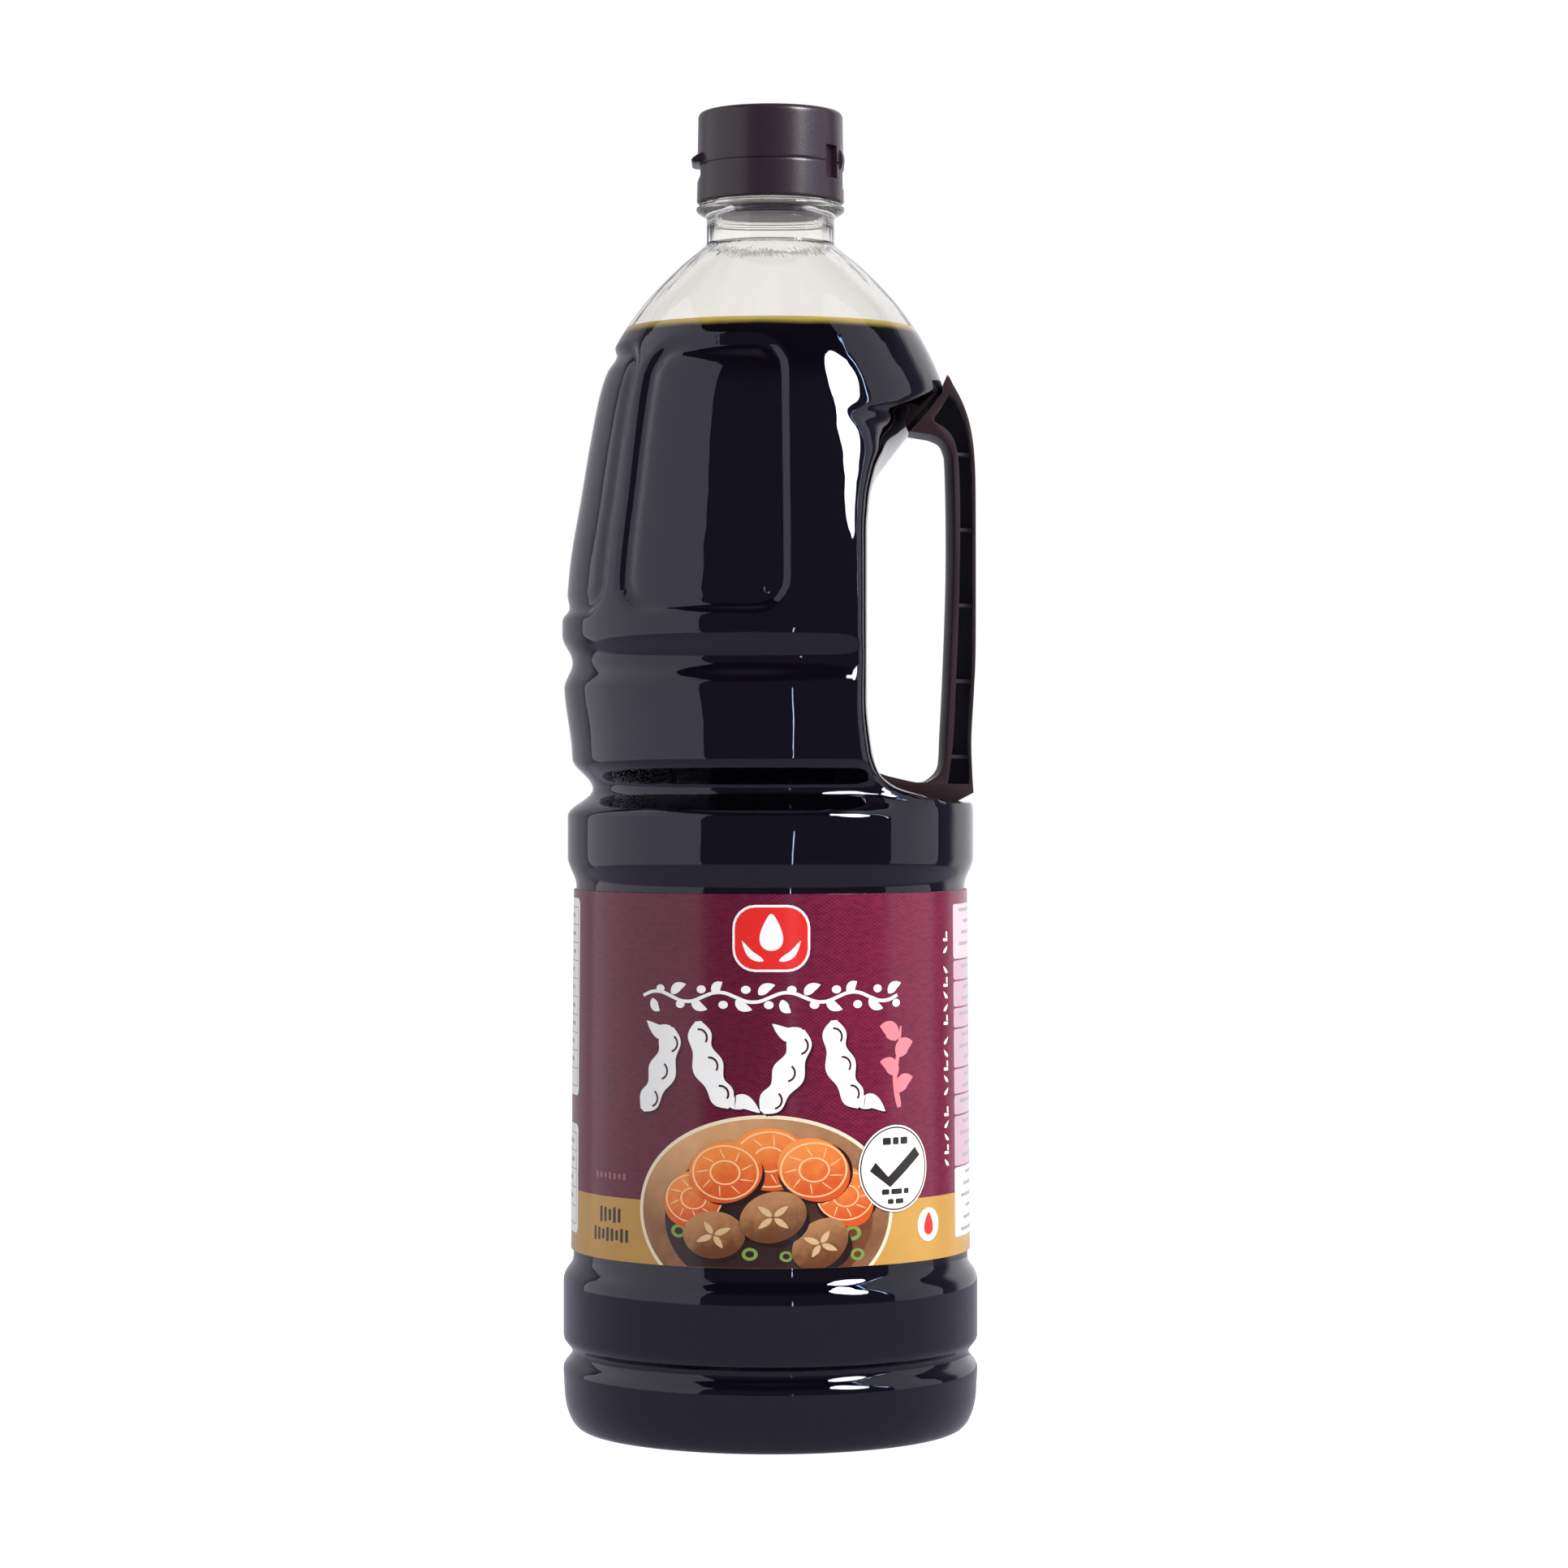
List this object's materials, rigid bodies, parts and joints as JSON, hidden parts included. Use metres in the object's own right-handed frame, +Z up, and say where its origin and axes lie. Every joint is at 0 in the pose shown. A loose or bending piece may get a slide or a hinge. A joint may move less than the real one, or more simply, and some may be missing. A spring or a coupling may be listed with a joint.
{
  "type": "handled sauce bottle",
  "caption": "Tall clear plastic bottle of dark sauce with a shut flip-top cap, a wrap-round label and a slim grip handle set into a side recess.",
  "frame": {"origin": "centre of the foot ring, on the plane that the bottle stands on", "axes": "+Z up the bottle's axis to the cap; the front of the label faces -Y; the handle is on +X and the cap's thumb tab on -X"},
  "size_m": [0.0971, 0.0974, 0.3072],
  "materials": {
    "clear_pet": "clear glossy blown plastic",
    "dark_sauce": "still liquid, near black, glossy",
    "cap_plastic": "satin moulded plastic, very dark plum brown",
    "handle_plastic": "semi-gloss moulded plastic, dark red brown",
    "label_film": "printed film, plum with a gold band"
  },
  "bodies": {
    "root": {"bottle": "clear_pet", "soy_sauce": "dark_sauce", "cap": "cap_plastic", "handle": "handle_plastic", "label": "label_film"}
  },
  "joints": []
}
